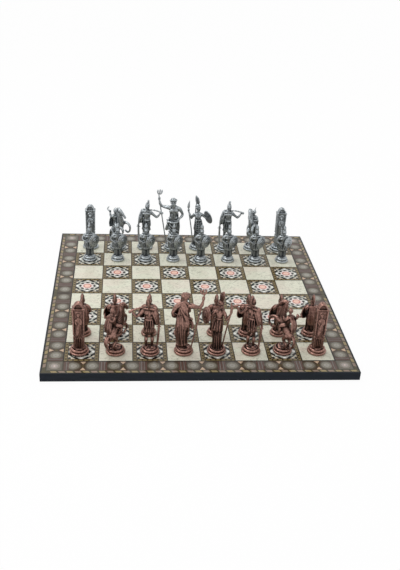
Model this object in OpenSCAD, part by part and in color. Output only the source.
// Folding chessboard with its thirty-two cast metal men, board lying open.
// Millimetres. +Z is up, the files run along X and the ranks along Y.
// The origin is on the table, under the middle of the open board.

/* [Board] */
// Side of one square
square_w = 40; // [38:1:60]
// Width of the border round the squares
border_w = 25; // [22:1:40]
// Thickness of the fibreboard core of each half
core_t = 9.3; // [8.6:0.1:16]
// Thickness of the face veneer
veneer_t = 0.6; // [0.4:0.1:1.2]
// Thickness of the backing sheet
backing_t = 0.6; // [0.3:0.1:0.8]
// Thickness of the dark band round the edge
band_t = 1; // [0.5:0.1:2]
// Width of the dark line between two squares
line_w = 0.4; // [0.2:0.05:0.8]
// Gap between the two halves when the board lies open
seam_gap = 0.3; // [0.2:0.05:0.6]

/* [Feet] */
// Radius of a rubber foot
foot_r = 7; // [4:0.5:9]
// Height of a rubber foot
foot_h = 2.5; // [2.2:0.1:5]
// Distance from the board's edge to the middle of a foot
foot_inset = 22; // [12:1:30]
// Edge rounding of a foot
foot_edge = 0.5; // [0.2:0.1:0.8]

/* [Hinges] */
// Distance between the middles of the two hinges
hinge_spacing = 220; // [120:5:260]
// Length of a hinge along the seam
hinge_len = 40; // [30:1:60]
// Reach of a hinge leaf from the seam
leaf_w = 16; // [13:0.5:24]
// Thickness of a hinge leaf, let in flush with the underside
leaf_t = 1; // [0.8:0.1:1.4]
// Outer radius of the knuckles
knuckle_r = 2; // [1.6:0.1:2.1]
// Radius of the hinge pin
pin_r = 1; // [0.7:0.05:1.2]
// Running clearance round the pin
pin_fit = 0.05; // [0.02:0.01:0.1]
// Gap between neighbouring knuckles
knuckle_gap = 0.2; // [0.1:0.05:0.4]
// Clearance round the knuckles and the leaves in the board
let_in_fit = 0.35; // [0.3:0.05:0.6]

/* [Screws] */
// Radius of a hinge screw's head
head_r = 2.1; // [1.8:0.1:2.4]
// Radius of a hinge screw's shank
shank_r = 1.1; // [0.8:0.05:1.3]
// Length of a hinge screw
screw_len = 8; // [6:0.5:9]
// Clearance round a screw in the leaf and the core
screw_fit = 0.05; // [0.03:0.01:0.1]

/* [Bases of the men] */
// Radius of a large man's base
base_r = 11.6; // [10.8:0.05:12]
// Radius of a pawn's base
pawn_base_r = 9.75; // [9.3:0.05:10.5]
// Height of the lower tier of a base
lower_tier = 3.2; // [2.8:0.1:3.6]
// Height of the upper tier of a base
upper_tier = 3.4; // [3:0.1:3.8]
// Step from the lower tier in to the upper one
tier_step = 1.4; // [1:0.05:2]
// Depth of the dished top inside the upper tier
dish = 0.5; // [0.2:0.1:1]

/* [Heights of the men] */
// King, to the tip of the trident
king_h = 91; // [82:0.2:106]
// Queen, to the tip of the crest
queen_h = 84; // [76:0.2:98]
// Bishop, to the tip of the crest
bishop_h = 77; // [68:0.2:90]
// Knight, to the crown of the horse
knight_h = 66; // [58:0.2:76]
// Pawn, to the tip of the plume
pawn_h = 57; // [50:0.2:66]
// Rook, to the top of the gable
rook_h = 67; // [64:0.5:76]

/* [Rook] */
// Width of the tower at its foot
rook_foot_w = 11.2; // [10:0.2:12]
// Width of the tower under the gable
rook_top_w = 13.4; // [12:0.2:14]
// Depth of the tower
rook_depth = 8.4; // [7.6:0.2:9.6]
// Radius of the corner columns
column_r = 1.2; // [0.9:0.1:1.4]
// Height of the gable
gable_h = 6.8; // [5.6:0.2:8]
// How far the cornices stand out
cornice_out = 0.8; // [0.4:0.1:1.2]
// Height of a cornice
cornice_h = 1.8; // [1.2:0.1:2.4]
// Depth of the panels
niche_depth = 1.4; // [0.8:0.1:2]

/* [Hidden] */
squares = 8;
half_squares = squares / 2;
field_w = squares * square_w;
board_w = field_w + 2 * border_w;
half_w = board_w / 2;
panel_t = backing_t + core_t + veneer_t;
under_z = foot_h;
core_z = under_z + backing_t;
veneer_z = core_z + core_t;
top_z = veneer_z + veneer_t;
seam_y = seam_gap / 2;
core_half_w = half_w - band_t;
knuckles = 5;
knuckle_len = (hinge_len - (knuckles - 1) * knuckle_gap) / knuckles;
screws_a_leaf = 3;
screw_pitch = hinge_len / screws_a_leaf;
screw_y = (knuckle_r + let_in_fit + leaf_w) / 2;
root_z = 4.5;
foot_z = 5;
arc_steps = 4;

silver = "#8f959b";
copper = "#96604f";
ivory = "#e2e2d2";
star_tone = "#8d7f63";
border_tone = "#7d6c68";
slate = "#2c3038";
fibre = "#a08560";
brass = "#b8964f";
rubber = "#26272a";

// How far each copper pawn stands to the right of its square's middle
copper_pawn_steps = [0, -1.8, 0, 0, 0.8, 0, 0, 0];

// Men: name, kind, file, rank, turn about the upright and step off the square's middle
MEN = concat(
    [
        ["silver_rook_left", "rook", 1, 8, 0, [0, 0]],
        ["silver_knight_left", "knight", 2, 8, -45, [0, 0]],
        ["silver_bishop_left", "bishop", 3, 8, -10, [0, 0]],
        ["silver_king", "king", 4, 8, 0, [0, 0]],
        ["silver_queen", "queen", 5, 8, 0, [-2.2, 0]],
        ["silver_bishop_right", "bishop", 6, 8, 0, [0, 0]],
        ["silver_knight_right", "knight", 7, 8, -112, [0, 0]],
        ["silver_rook_right", "rook", 8, 8, 0, [1.6, 0]],
        ["copper_rook_left", "rook", 1, 1, 180, [-2.8, 0]],
        ["copper_knight_left", "knight", 2, 1, 45, [-0.5, 0]],
        ["copper_bishop_left", "bishop", 3, 1, 180, [0, -1]],
        ["copper_king", "king", 4, 1, 172, [0, 0]],
        ["copper_queen", "queen", 5, 1, 168, [-0.6, 0]],
        ["copper_bishop_right", "bishop", 6, 1, 150, [1, 0]],
        ["copper_knight_right", "knight", 7, 1, 132, [-0.4, 1]],
        ["copper_rook_right", "rook", 8, 1, 180, [1.4, 0]],
    ],
    [for (i = [1:squares]) [str("silver_pawn_", i), "pawn", i, 7, 0, [0, 0]]],
    [for (i = [1:squares]) [str("copper_pawn_", i), "pawn", i, 2, 180, [copper_pawn_steps[i - 1], 0]]]
);

// Points of an arc about a centre, both ends included
function arc(centre, r, from, to, steps) =
    [for (i = [0:steps]) let (a = from + (to - from) * i / steps) centre + r * [cos(a), sin(a)]];

// Middle of a square, counted from the front left corner of the field
function square_middle(file, rank) =
    [(file - half_squares - 0.5) * square_w, (rank - half_squares - 0.5) * square_w];

// A star square lies at the front left corner, and they alternate from there
function is_star(file, rank) = (file + rank) % 2 == 0;

// Places of the two hinges along the seam
function hinge_places() = [-hinge_spacing / 2, hinge_spacing / 2];

// Draws the rear half's piece as it is, and the front half's mirrored across the seam
module on_half(half) {
    if (half == "rear") children();
    else mirror([0, 1, 0]) children();
}

// Room that the hinges need in the rear half's core and backing
module hinge_room() {
    for (x = hinge_places()) {
        translate([x - hinge_len / 2 - let_in_fit, 0, under_z])
            rotate([90, 0, 90]) cylinder(r = knuckle_r + let_in_fit, h = hinge_len + 2 * let_in_fit, $fn = 48);
        translate([x - hinge_len / 2 - let_in_fit, 0, under_z - 1])
            cube([hinge_len + 2 * let_in_fit, leaf_w + let_in_fit, leaf_t + 1]);
    }
}

// Places of the screws of the rear leaves
module at_screws() {
    for (x = hinge_places(), i = [0:screws_a_leaf - 1])
        translate([x + (i - (screws_a_leaf - 1) / 2) * screw_pitch, screw_y, under_z]) children();
}

// A countersunk screw's outline turned about its axis, head down, larger by a clearance
module screw_form(extra) {
    rotate_extrude($fn = 32)
        polygon([
            [0, -extra],
            [head_r + extra, -extra],
            [head_r + extra, 0.15],
            [shank_r + extra, leaf_t],
            [shank_r + extra, screw_len - 1.5],
            [0.2 + extra, screw_len + extra],
            [0, screw_len + extra],
        ]);
}

// Fibreboard core of one half, with the room for the hinges and the screw holes
module half_core(half) {
    color(fibre) on_half(half) difference() {
        translate([-core_half_w, seam_y, core_z]) cube([2 * core_half_w, core_half_w - seam_y, core_t]);
        hinge_room();
        at_screws() screw_form(screw_fit);
    }
}

// Veneer squares of one kind on one half
module half_squares_of(half, star) {
    ranks = half == "rear" ? [half_squares + 1:squares] : [1:half_squares];
    color(star ? star_tone : ivory)
        for (file = [1:squares], rank = ranks)
            if (is_star(file, rank) == star) veneer_square(file, rank);
}

// One square of veneer, cut back from the seam where the board folds
module veneer_square(file, rank) {
    middle = square_middle(file, rank);
    reach = (square_w - line_w) / 2;
    low_y = rank == half_squares + 1 ? seam_y : middle[1] - reach;
    high_y = rank == half_squares ? -seam_y : middle[1] + reach;
    translate([middle[0] - reach, low_y, veneer_z]) cube([2 * reach, high_y - low_y, veneer_t]);
}

// Border veneer of one half: two side strips and an end strip, mitred at the corners
module half_border(half) {
    outer = core_half_w;
    inner = field_w / 2;
    color(border_tone) on_half(half) translate([0, 0, veneer_z]) linear_extrude(veneer_t) {
        for (side = [-1, 1])
            polygon([
                [side * inner, seam_y],
                [side * outer, seam_y],
                [side * outer, outer],
                [side * inner, inner],
            ]);
        polygon([[-inner, inner], [inner, inner], [outer, outer], [-outer, outer]]);
    }
}

// Backing sheet under one half, cut away round the hinges
module half_backing(half) {
    color(slate) on_half(half) difference() {
        translate([-core_half_w, seam_y, under_z]) cube([2 * core_half_w, core_half_w - seam_y, backing_t]);
        hinge_room();
    }
}

// Dark band bent round the three outer sides of one half
module half_edge_band(half) {
    color(slate) on_half(half) translate([0, 0, under_z]) linear_extrude(panel_t) difference() {
        translate([-half_w, seam_y]) square([2 * half_w, half_w - seam_y]);
        translate([-core_half_w, seam_y - 1]) square([2 * core_half_w, core_half_w - seam_y + 1]);
    }
}

// Leaves of both hinges on one half; the rear leaves carry the outer and middle knuckles
module half_hinge_leaves(half) {
    first = half == "rear" ? 0 : 1;
    near = knuckle_r + let_in_fit;
    color(brass) on_half(half) difference() {
        for (x = hinge_places()) translate([x - hinge_len / 2, 0, under_z]) {
            translate([0, near, 0]) cube([hinge_len, leaf_w - near, leaf_t]);
            for (i = [first:2:knuckles - 1]) translate([i * (knuckle_len + knuckle_gap), 0, 0]) {
                rotate([90, 0, 90]) cylinder(r = knuckle_r, h = knuckle_len, $fn = 48);
                translate([0, pin_r + 0.4, 0]) cube([knuckle_len, near, leaf_t]);
            }
        }
        for (x = hinge_places())
            translate([x - hinge_len / 2 - 1, 0, under_z])
                rotate([90, 0, 90]) cylinder(r = pin_r + pin_fit, h = hinge_len + 2, $fn = 32);
        at_screws() screw_form(screw_fit);
    }
}

// Pins of both hinges
module hinge_pins() {
    color(brass)
        for (x = hinge_places())
            translate([x - hinge_len / 2, 0, under_z])
                rotate([90, 0, 90]) cylinder(r = pin_r, h = hinge_len, $fn = 32);
}

// Screws of both leaves on one half
module half_hinge_screws(half) {
    color(brass) on_half(half) at_screws() screw_form(0);
}

// Rubber feet at the two outer corners of one half
module half_feet(half) {
    at = half_w - foot_inset;
    color(rubber) on_half(half) for (side = [-1, 1])
        translate([side * at, at, 0])
            rotate_extrude($fn = 48)
                polygon(concat(
                    [[0, 0]],
                    arc([foot_r - foot_edge, foot_edge], foot_edge, -90, 0, arc_steps),
                    [[foot_r, foot_h], [0, foot_h]]
                ));
}

// Turned base of a man: a round-edged lower tier, a stepped upper tier and a dished top
module stepped_base(r) {
    low = lower_tier / 2;
    high = upper_tier / 2;
    upper_r = r - tier_step;
    rim = upper_r - high - 0.6;
    rotate_extrude($fn = 64)
        polygon(concat(
            [[0, 0]],
            arc([r - low, low], low, -90, 90, 2 * arc_steps),
            arc([upper_r - high, lower_tier + high], high, -90, 90, 2 * arc_steps),
            [[rim, lower_tier + upper_tier]],
            [[rim - dish, lower_tier + upper_tier - dish]],
            [[0, lower_tier + upper_tier - dish]]
        ));
}

function unit(v) = v / norm(v);

// Direction of travel at a point of a path
function travel(path, i) = unit(path[min(i + 1, len(path) - 1)] - path[max(i - 1, 0)]);

// Corners of one ring of a limb: an ellipse square to the travel
function ring(centre, along, ref, r, sides) =
    let (
        u = unit(cross(ref, along)),
        v = cross(along, u),
        half = is_list(r) ? r : [r, r]
    )
    [
        for (k = [0:sides - 1])
            let (a = 360 * (k + 0.5) / sides)
                centre + half[0] * cos(a) * u + half[1] * sin(a) * v
    ];

// A closed form swept along a path, with a radius or a pair of half widths at each point
module limb(path, radii, sides = 5, ref = [0, 1, 0]) {
    count = len(path);
    corners = [for (i = [0:count - 1]) each ring(path[i], travel(path, i), ref, radii[i], sides)];
    skin = [
        for (i = [0:count - 2], k = [0:sides - 1])
            let (a = i * sides + k, b = i * sides + (k + 1) % sides)
                each [[a, a + sides, b + sides], [a, b + sides, b]]
    ];
    first = [for (k = [0:sides - 1]) k];
    last = [for (k = [sides - 1:-1:0]) (count - 1) * sides + k];
    polyhedron(points = corners, faces = concat([first], skin, [last]));
}

// Draws its children on both sides of the plane y = 0
module both_sides() {
    children();
    mirror([0, 1, 0]) children();
}

// Stands a figure on a low mound in its base and brings it to the height that it should reach
module cast_to(height, mound_r) {
    translate([0, 0, root_z])
        resize([0, 0, height - root_z], auto = true)
            translate([0, 0, -root_z]) {
                children();
                limb([[0, 0, root_z], [0, 0, 7.2]], [mound_r, 0.8 * mound_r], 6);
            }
}

// A round shield with a shallow dome, its face towards -Y
module shield(r, sides) {
    limb([[0, 0.8, 0], [0, -0.6, 0], [0, -1.8, 0]], [r, r, 0.5 * r], sides, [0, 0, 1]);
}

// King: a bearded sea god, bare to the waist, with a trident in his raised right hand
module king_figure() {
    elbow = [-16.8, 5, 65.5];
    grip = [-20.2, 5.5, 77];
    fork = [-19.9, 6.3, 83.2];
    // Robe, falling from the rolled cloth at the hips, then torso, neck, bearded head and thick hair
    limb([
        [1.8, 0.5, foot_z], [2.2, 0.5, 12], [3, 0.5, 24], [2.6, 0.5, 36], [0.6, 0.5, 43.5], [0.6, 0.5, 47],
        [0.6, 0.5, 53], [1.6, 0.2, 60], [2, 0.5, 65], [0.7, -0.6, 67.4],
        [0.3, -1.2, 70], [0.3, -0.4, 74], [0.3, 0, 77.4], [0.3, 0.2, 79.6]
    ], [
        [6.4, 6], [5.6, 5.2], [7.2, 5.6], [8.3, 5.8], [9.4, 6.2], [7.4, 5.2],
        [4.9, 3.6], [7, 4.6], [7.6, 3.6], [2.6, 2.8],
        [3.4, 3.8], [5, 5.2], [4.4, 4.4], [1.8, 1.8]
    ], 7);
    // Raised right arm
    limb([[-4.5, 1, 63.8], [-11, 3.2, 64.4], elbow, (elbow + grip) / 2 + [-0.6, 0, 0], grip + [0.1, 0, 2]],
        [2.7, 2.1, 1.9, 1.7, 1.4]);
    // Left arm, hand on the hip
    limb([[7.6, 0.8, 64.2], [12, 1.8, 59.6], [14.6, 2.2, 53.4], [11.4, -0.4, 49.6], [7, -2.4, 47]],
        [2.7, 2.3, 1.9, 1.7, 1.5]);
    // Trident
    limb([[-8.2, 4, foot_z], grip, fork], [0.65, 0.65, 0.65], 4);
    limb([fork - [0, 0, 1], fork + [0.2, 0.3, 3], [-19.2, 7, 91]], [0.8, 0.7, 0.4], 4);
    for (side = [-1, 1])
        limb([
            fork, fork + [side * 2.2, 0, 1.4],
            fork + [side * 3.2 + 0.3, 0.2, 4], fork + [side * 2.5 + 0.5, 0.4, 6.6]
        ], [0.75, 0.75, 0.7, 0.35], 4);
}

// Queen: a helmeted goddess in a long robe, with spear and round shield
module queen_figure() {
    elbow = [-9.6, 3.6, 47];
    grip = [-14.4, 5.2, 59.4];
    // Robe, torso, neck and helmeted head
    limb([
        [0.2, 0, foot_z], [0.2, 0, 11], [0.2, 0, 22], [0, 0, 34], [-0.6, 0, 47],
        [-0.6, -0.3, 52], [-0.6, 0, 56.4], [-0.9, -0.2, 59.4],
        [-1.3, -0.9, 63], [-1.4, -0.4, 67.5], [-1.6, 0.2, 71], [-1.7, 0.2, 72.6]
    ], [
        [6.4, 5.8], [5.8, 5.2], [5.6, 4.8], [5.2, 4.4], [4.7, 3.8],
        [5.6, 4.3], [6, 3.4], [2.1, 2.1],
        [3.6, 3.5], [4.4, 4.7], [3.6, 3.8], [1.4, 1.6]
    ], 7);
    // Tall crest
    limb([[-1.6, 0.4, 70], [-2, 1.2, 74.5], [-2.8, 2, 78.5], [-3.8, 2.6, 81.6], [-4.6, 2.8, 84]],
        [[1.5, 3], [2.6, 4], [2.6, 4], [1.9, 2.6], [0.4, 0.6]]);
    // Right arm with the spear
    limb([[-5.2, 0, 55.4], [-8, 2, 51], elbow, (elbow + grip) / 2 + [-0.6, 0, 0], grip + [0.1, 0, 2]],
        [2.3, 2, 1.8, 1.6, 1.4]);
    limb([[-6, 0, foot_z], [-10, 2.6, 34], grip], [0.65, 0.65, 0.65], 4);
    limb([grip, grip + [-0.2, 0.4, 4], grip + [0.4, 1, 10], grip + [1.4, 1.6, 14.6]],
        [[0.7, 0.7], [1.6, 0.8], [1.3, 0.7], [0.3, 0.3]], 4);
    // Left arm and shield
    limb([[4, 0, 55.4], [7, 0.6, 52.6], [9.6, 0.8, 50.2], [13.6, 1.8, 50]], [2.3, 1.9, 1.7, 1.5]);
    translate([14.8, 2, 49.8]) rotate([-12, 0, 121]) shield(10.2, 14);
}

// Bishop: a helmeted herald with a long horn on his left shoulder
module bishop_figure() {
    hand = [21.6, 2, 57.4];
    // Legs and feet
    limb([[-2.2, 0, foot_z], [-2.3, -0.1, 14], [-1.8, 0, 24], [-0.4, 0, 31]], [1.8, 1.8, 2.5, 3], 4);
    limb([[5, 0, foot_z], [4.9, -0.1, 14], [4.4, 0, 24], [3.2, 0, 31]], [1.8, 1.8, 2.5, 3], 4);
    for (x = [-2.4, 5.2]) limb([[x, 1.6, 7.4], [x, -3.6, 7]], [1.7, 1.3], 4, [0, 0, 1]);
    // Tunic, cuirass, neck and helmeted head
    limb([
        [1.5, 0, 27.5], [1.6, 0, 34], [1.8, 0, 40], [1.9, 0, 44.5],
        [1.9, 0, 48], [1.6, -0.3, 54.5], [1.3, 0, 59.4], [2.3, -0.2, 61.8],
        [2.7, -0.9, 64.6], [2.7, -0.4, 68.2], [2.8, 0, 71.2], [2.9, 0.2, 72.6]
    ], [
        [6.6, 5], [6.2, 4.8], [5.6, 4.4], [5, 4],
        [5.2, 4.1], [6.3, 4.6], [6.6, 3.6], [2, 2],
        [2.7, 3], [3.2, 3.7], [2.5, 3.2], [0.9, 1.2]
    ], 7);
    // Crest
    limb([[2.9, 0.6, 70], [3.4, 1, 73.6], [4.3, 1, 75.8], [5.2, 0.4, 77]],
        [[1, 2.8], [1.2, 3.2], [1, 2.4], [0.4, 0.6]], 4);
    // Left arm, bent under the horn
    limb([[6.2, 0, 59], [11, 0.8, 54.4], [15.8, 1.6, 49.8], [19, 1.9, 53], hand], [2.4, 2, 1.8, 1.6, 1.4], 4);
    limb([[5.6, -0.6, 62], [14, 1, 60.7], hand + [-0.8, 0, 1.2], hand + [3, 0.6, -1]],
        [0.8, 0.9, 1.2, 1.8], 4);
    // Right arm, hanging to the sheathed sword
    limb([[-4, 0, 59], [-7, 0, 53], [-8.4, -0.6, 46], [-9.8, -2, 34.6]], [2.4, 2, 1.8, 1.5], 4);
    limb([[-9.9, -2, 37.5], [-9.4, -2, 22], [-8.2, -2, foot_z]], [[1.3, 0.9], [1.5, 0.9], [1.1, 0.8]], 4);
    // Cape behind the right shoulder
    limb([[-1.5, 3, 59], [-4.4, 3.6, 50], [-5, 3.8, 42], [-4.6, 3.6, 34]],
        [[4.4, 1], [5, 1.3], [5.2, 1.4], [4.6, 1]], 4);
}

// Knight: a caped rider with a curved sword swung back, on a rearing horse that faces +X
module knight_figure() {
    poll = [5.5, -4.6, 63.6];
    fist = [-14.2, -2.2, 54.5];
    // Barrel of the horse and its arched neck
    limb([
        [-9.5, 0, 21.5], [-6.4, 0, 27.5], [0, 0, 34], [5.6, -0.4, 40],
        [7.6, -1.8, 47], [6.4, -3.2, 54], [5.2, -4.2, 60], poll + [0.6, 0, 2.4]
    ], [
        [3.4, 3.4], [6, 5.8], [5.8, 5.6], [6, 5.4],
        [4.9, 3.9], [4.2, 3.2], [3.6, 2.7], [1.4, 1.2]
    ], 6);
    // Bowed head
    limb([poll + [-1.4, 0, 0], [9.8, -4, 61.4], [14, -3, 57.2], [17.4, -2, 53]],
        [[2.6, 2.3], [3, 2.5], [2.2, 1.9], [1.7, 1.5]], 4);
    // Hind legs on the base
    both_sides() limb([[-6, 3.2, 27], [-2.6, 4, 19.5], [-6.4, 3.8, 13.4], [-4.4, 3.6, 8.6],
        [-2.8, 3.4, foot_z]],
        [3.8, 2.7, 1.6, 1.3, 1.7], 4);
    // Forelegs, the left one curled
    limb([[7.6, 2.4, 41], [14, 3.4, 43.4], [20.2, 3.8, 41], [21.2, 3.8, 34], [17, 3.6, 29],
        [13, 3.2, 30.6]],
        [3.2, 2.2, 1.7, 1.5, 1.4, 1.4], 4);
    limb([[7.6, -2.8, 37], [13, -3.8, 34], [14.4, -4, 28.8], [11.6, -4, 25.2]], [3, 2.1, 1.5, 1.3], 4);
    // Tail, down to the base
    limb([[-8, 0, 25.4], [-13, 0, 25], [-15.8, 0, 19], [-14.6, 0, 12], [-11, 0, 7.6],
        [-7.6, 0, foot_z + 0.6]],
        [1.8, 2, 2, 1.7, 1.3, 1.1], 4);
    // Rider's body and head
    limb([
        [-1.4, 0, 37], [-2.8, 0, 41], [-4.6, -0.2, 46], [-5.8, -0.4, 50.4],
        [-5.4, -0.4, 53], [-4.9, -0.4, 55.4], [-4.6, -0.4, 58.6], [-5, -0.4, 61.6]
    ], [
        [3.6, 4.2], [3.4, 4], [3.6, 4.8], [3, 5],
        [1.5, 1.5], [2.7, 2.5], [2.8, 2.6], [1, 1]
    ], 6);
    both_sides() limb([[-1, 3.2, 38], [3.4, 6, 36], [2.6, 6.6, 30.6], [3.8, 6.6, 27]],
        [2.8, 2.1, 1.6, 1.3], 4);
    // Raised sword arm and the arm on the reins
    limb([[-5.8, -4, 49.8], [-9.6, -4.4, 48.2], [-12.2, -3.6, 49.8], fist], [2.2, 1.9, 1.7, 1.5], 4);
    limb([fist + [1, 0, -0.4], fist + [-3, -0.2, -0.2], fist + [-5.4, 0, 1.6], fist + [-3, 1.4, 6]],
        [[0.9, 0.6], [1.1, 0.6], [1.1, 0.6], [0.4, 0.3]], 4);
    limb([[-5.2, 3.6, 50], [-2.4, 5.2, 46.4], [3.4, 1.4, 47.4]], [2.1, 1.7, 1.3], 4);
    // Cape
    limb([[-7.2, 0, 51.4], [-11.2, 0, 46.6], [-13.2, 0, 39], [-12.2, 0, 31]],
        [[1, 4.4], [1.3, 5.2], [1.4, 5.8], [1, 5]], 4);
}

// Pawn: a soldier in a cape with a plumed helmet and a round shield on his left arm
module pawn_figure() {
    // Legs, kilt, cuirass, neck and helmeted head
    limb([
        [0, 0, foot_z], [0, 0, 20], [0, 0, 29.4], [0, -0.2, 36.5], [0, 0, 40.6],
        [0, -0.4, 43], [0, -0.5, 46.6], [0, 0.1, 51.2]
    ], [
        [4.8, 4.3], [5.5, 4.4], [4.7, 3.8], [6.1, 4.4], [6.3, 3.5],
        [1.9, 2], [3.1, 3.4], [1.6, 2]
    ], 6);
    // Plume
    limb([[0, 0.4, 49], [0, 1, 53.2], [0.2, 0.9, 57]], [[1.5, 2.4], [1.8, 2.7], [0.4, 0.5]], 4);
    // Right arm, hand on the hip
    limb([[-4.8, 0, 39.6], [-8.4, 0.4, 36.4], [-9.2, 0, 32], [-4.4, -2.4, 28.6]], [2.2, 1.8, 1.6, 1.4], 4);
    // Left arm and shield
    limb([[4.8, 0, 39.6], [8.2, -0.4, 35.6], [7.4, -2.4, 31]], [2.2, 1.8, 1.4], 4);
    translate([6.8, -3, 30.6]) rotate([0, 0, 42]) shield(9.4, 10);
    // Cape
    limb([[0, 3, 41], [-1.2, 4.8, 34], [-1.4, 5.4, 25], [-1, 5.2, 15]],
        [[5, 1], [6.8, 1.3], [7, 1.4], [5, 1]], 4);
}

// Rook: a narrow temple front with corner columns, relief panels on both faces and an arched gable
module rook_tower() {
    storey_z = 24;
    shelf_z = rook_h - gable_h;
    half_d = rook_depth / 2;
    lean = atan((rook_top_w - rook_foot_w) / 2 / (shelf_z - root_z));
    difference() {
        union() {
            // Tapered shaft
            translate([0, half_d, 0]) rotate([90, 0, 0]) linear_extrude(rook_depth)
                polygon([
                    [-rook_foot_w / 2, root_z],
                    [rook_foot_w / 2, root_z],
                    [rook_top_w / 2, shelf_z],
                    [-rook_top_w / 2, shelf_z],
                ]);
            // Gable on its cornice
            translate([0, half_d - 0.8, shelf_z - 0.2])
                rotate([90, 0, 0]) linear_extrude(rook_depth - 1.6)
                    polygon(arched(rook_top_w / 2, gable_h + 0.2));
            // Cornices
            for (z = [storey_z, shelf_z - cornice_h]) {
                w = rook_foot_w + (rook_top_w - rook_foot_w) * z / shelf_z + 2 * cornice_out;
                translate([-w / 2, -half_d - cornice_out, z])
                    cube([w, rook_depth + 2 * cornice_out, cornice_h]);
            }
            // Corner columns
            for (x = [-1, 1], y = [-1, 1])
                translate([x * (rook_foot_w / 2 - 0.6), y * (half_d - 0.3), root_z])
                    rotate([0, x * lean, 0])
                        cylinder(r = column_r, h = shelf_z - root_z - cornice_h / 2, $fn = 32);
        }
        for (face = [0, 180]) rotate([0, 0, face]) rook_recesses(storey_z, shelf_z);
    }
    for (face = [0, 180]) rotate([0, 0, face]) rook_relief(storey_z, half_d);
}

// Outline of a pointed arch on a level foot
function arched(half_w, h) = [for (k = [-10:10]) [half_w * k / 10, h * (1 - pow(k / 10, 2))]];

// Recesses cut into one face of the rook: the tympanum, the upper panel and the lower panel
module rook_recesses(storey_z, shelf_z) {
    deep = rook_depth / 2 - niche_depth;
    panel_w = rook_foot_w / 2 - column_r - 0.5;
    translate([0, -deep, 0]) rotate([90, 0, 0]) linear_extrude(rook_depth) {
        translate([0, shelf_z + 1]) polygon(arched(rook_top_w / 2 - 1.8, gable_h - 2.2));
        translate([-panel_w, storey_z + cornice_h + 1])
            square([2 * panel_w, shelf_z - storey_z - 2 * cornice_h - 2]);
        translate([-panel_w, 8.4]) square([2 * panel_w, storey_z - 10.4]);
    }
}

// Draped figure standing in relief in the upper panel
module rook_relief(storey_z, half_d) {
    translate([0, -half_d + niche_depth, storey_z + cornice_h]) {
        translate([0, 0, 0.4]) cylinder(r1 = 2.3, r2 = 2, h = 22, $fn = 24);
        translate([0, 0, 24]) sphere(r = 2.1, $fn = 16);
    }
}

// One man of either army, standing on its square
module chessman(man) {
    kind = man[1];
    middle = square_middle(man[2], man[3]);
    tone = man[3] > half_squares ? silver : copper;
    color(tone) translate([middle[0] + man[5][0], middle[1] + man[5][1], top_z]) rotate([0, 0, man[4]]) {
        stepped_base(kind == "pawn" ? pawn_base_r : base_r);
        if (kind == "king") cast_to(king_h, 8.4) king_figure();
        if (kind == "queen") cast_to(queen_h, 8) queen_figure();
        if (kind == "bishop") cast_to(bishop_h, 7.6) bishop_figure();
        if (kind == "knight") cast_to(knight_h, 7.6) knight_figure();
        if (kind == "rook") rook_tower();
        if (kind == "pawn") cast_to(pawn_h, 6) pawn_figure();
    }
}

half_core("rear");  // rear_core
half_core("front");  // front_core
half_squares_of("rear", false);  // rear_light_squares
half_squares_of("front", false);  // front_light_squares
half_squares_of("rear", true);  // rear_star_squares
half_squares_of("front", true);  // front_star_squares
half_border("rear");  // rear_border
half_border("front");  // front_border
half_backing("rear");  // rear_backing
half_backing("front");  // front_backing
half_edge_band("rear");  // rear_edge_band
half_edge_band("front");  // front_edge_band
half_hinge_leaves("rear");  // rear_hinge_leaves
half_hinge_leaves("front");  // front_hinge_leaves
hinge_pins();
half_hinge_screws("rear");  // rear_hinge_screws
half_hinge_screws("front");  // front_hinge_screws
half_feet("rear");  // rear_feet
half_feet("front");  // front_feet
for (man = MEN) chessman(man);
